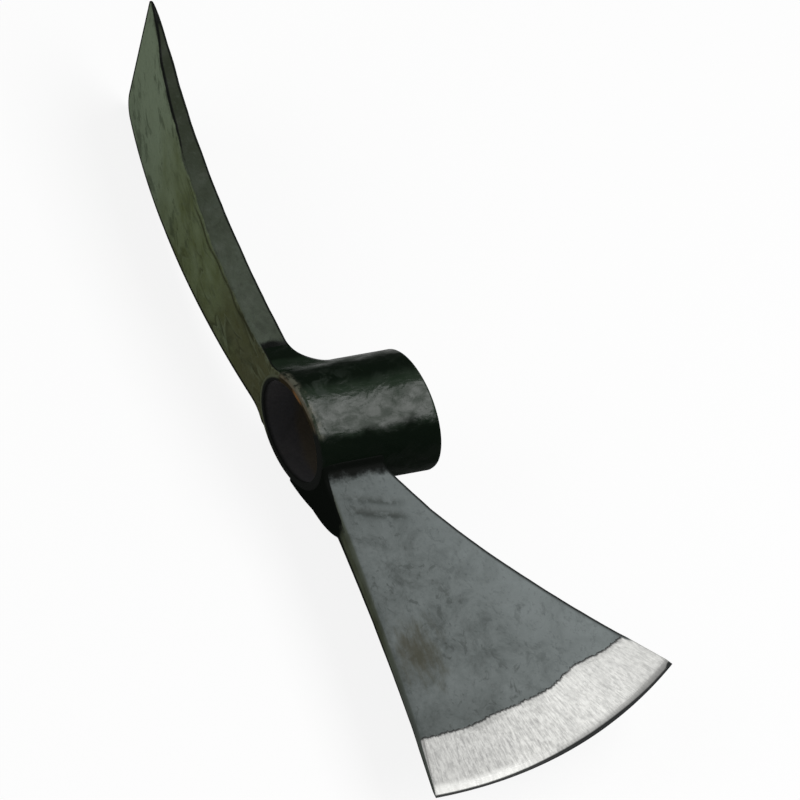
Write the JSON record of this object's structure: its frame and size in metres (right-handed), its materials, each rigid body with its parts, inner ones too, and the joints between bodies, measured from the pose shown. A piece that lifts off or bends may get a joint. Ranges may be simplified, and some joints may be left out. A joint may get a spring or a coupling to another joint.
{
  "type": "mattock head",
  "caption": "Forged steel mattock head with a round tubular eye for a handle, an arched adze blade at one end and a fan-shaped axe blade with a ground edge at the other.",
  "frame": {"origin": "on the axis of the eye's bore, at the middle of the eye's length", "axes": "+X towards the axe's edge, +Y along the bore towards the handle, +Z square to the axe's face"},
  "size_m": [0.3406, 0.1216, 0.0675],
  "materials": {
    "black_eye": "glossy black oiled forge scale",
    "adze_scale": "satin olive-grey forge scale",
    "axe_scale": "satin blue-grey forge scale with pits",
    "ground_steel": "bright steel, ground across the edge"
  },
  "bodies": {
    "root": {"eye_barrel": "black_eye", "adze_blade": "adze_scale", "adze_bit": "adze_scale", "axe_blade": "axe_scale", "axe_bit": "ground_steel"}
  },
  "joints": []
}
